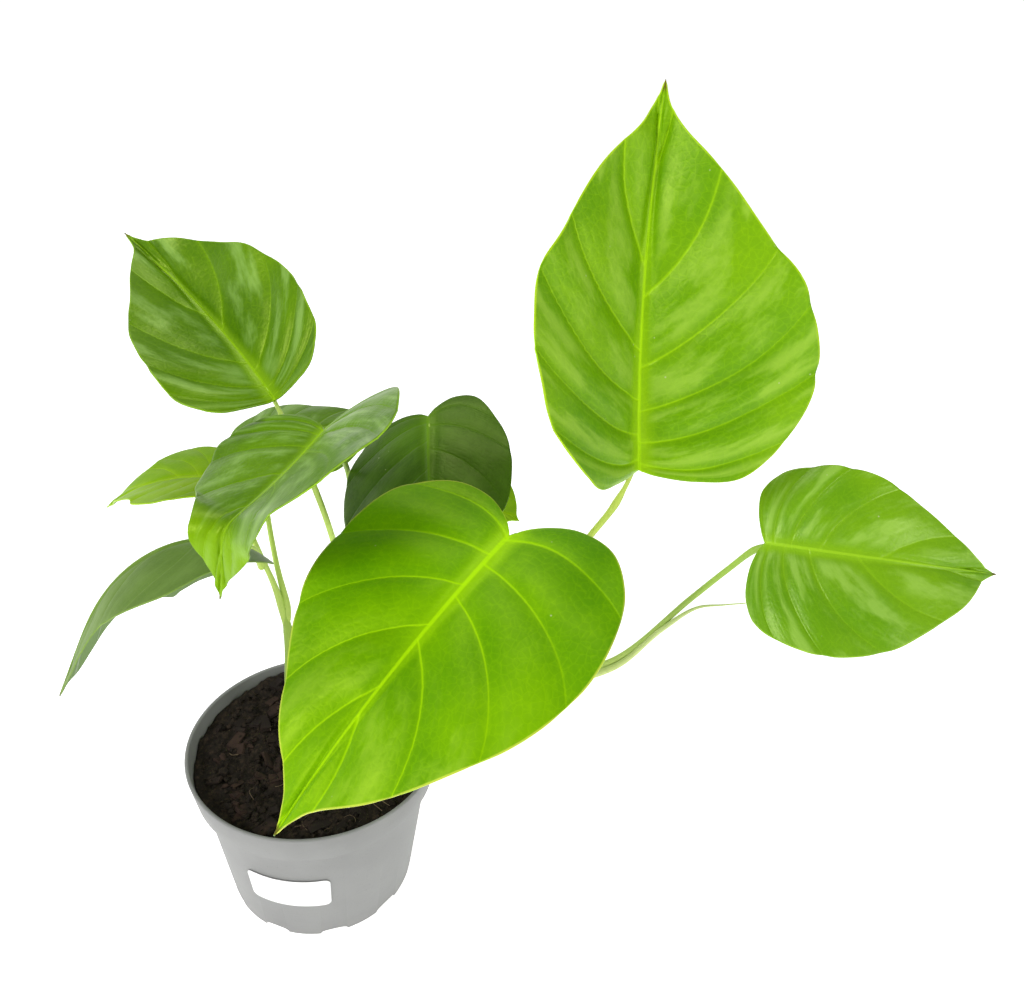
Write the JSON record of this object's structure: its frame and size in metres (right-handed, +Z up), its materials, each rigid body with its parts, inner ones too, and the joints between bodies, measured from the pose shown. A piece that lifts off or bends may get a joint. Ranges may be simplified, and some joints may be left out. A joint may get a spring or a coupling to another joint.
{
  "type": "potted monstera",
  "caption": "Young heart-leaved monstera seedlings in a plain round grey nursery pot with potting mix and a blank label; stands on a table or shelf.",
  "frame": {"origin": "centre of the pot's underside, on the surface it stands on", "axes": "+Z up along the pot's axis, -Y towards the viewer, +X to the viewer's right"},
  "size_m": [0.3767, 0.2176, 0.3827],
  "materials": {
    "pot": "satin, fine moulded texture",
    "label": "matt, blank",
    "potting_mix": "rough, crumbly peat and bark",
    "stem": "satin green stem",
    "petiole": "satin green stalk",
    "shoot": "pale sheath",
    "leaf_bright": "glossy, veined",
    "leaf_glossy": "glossy, veined",
    "leaf_mid": "satin, veined",
    "leaf_dark": "satin, veined",
    "leaf_grey": "satin, veined",
    "leaf_lime": "satin, veined"
  },
  "bodies": {
    "root": {"pot": "pot", "label": "label", "soil": "potting_mix", "stem_left": "stem", "stem_middle": "stem", "stem_right": "stem", "petiole_front": "petiole", "petiole_upright": "petiole", "petiole_right": "petiole", "petiole_rear": "petiole", "petiole_creased": "petiole", "petiole_dark": "petiole", "petiole_drooping": "petiole", "petiole_lime": "petiole", "petiole_inner": "petiole", "petiole_small": "petiole", "new_shoot": "shoot", "leaf_front": "leaf_bright", "leaf_upright": "leaf_bright", "leaf_right": "leaf_glossy", "leaf_rear": "leaf_mid", "leaf_creased": "leaf_mid", "leaf_dark": "leaf_dark", "leaf_drooping": "leaf_grey", "leaf_lime": "leaf_lime", "leaf_inner": "leaf_mid", "leaf_small": "leaf_lime"}
  },
  "joints": []
}
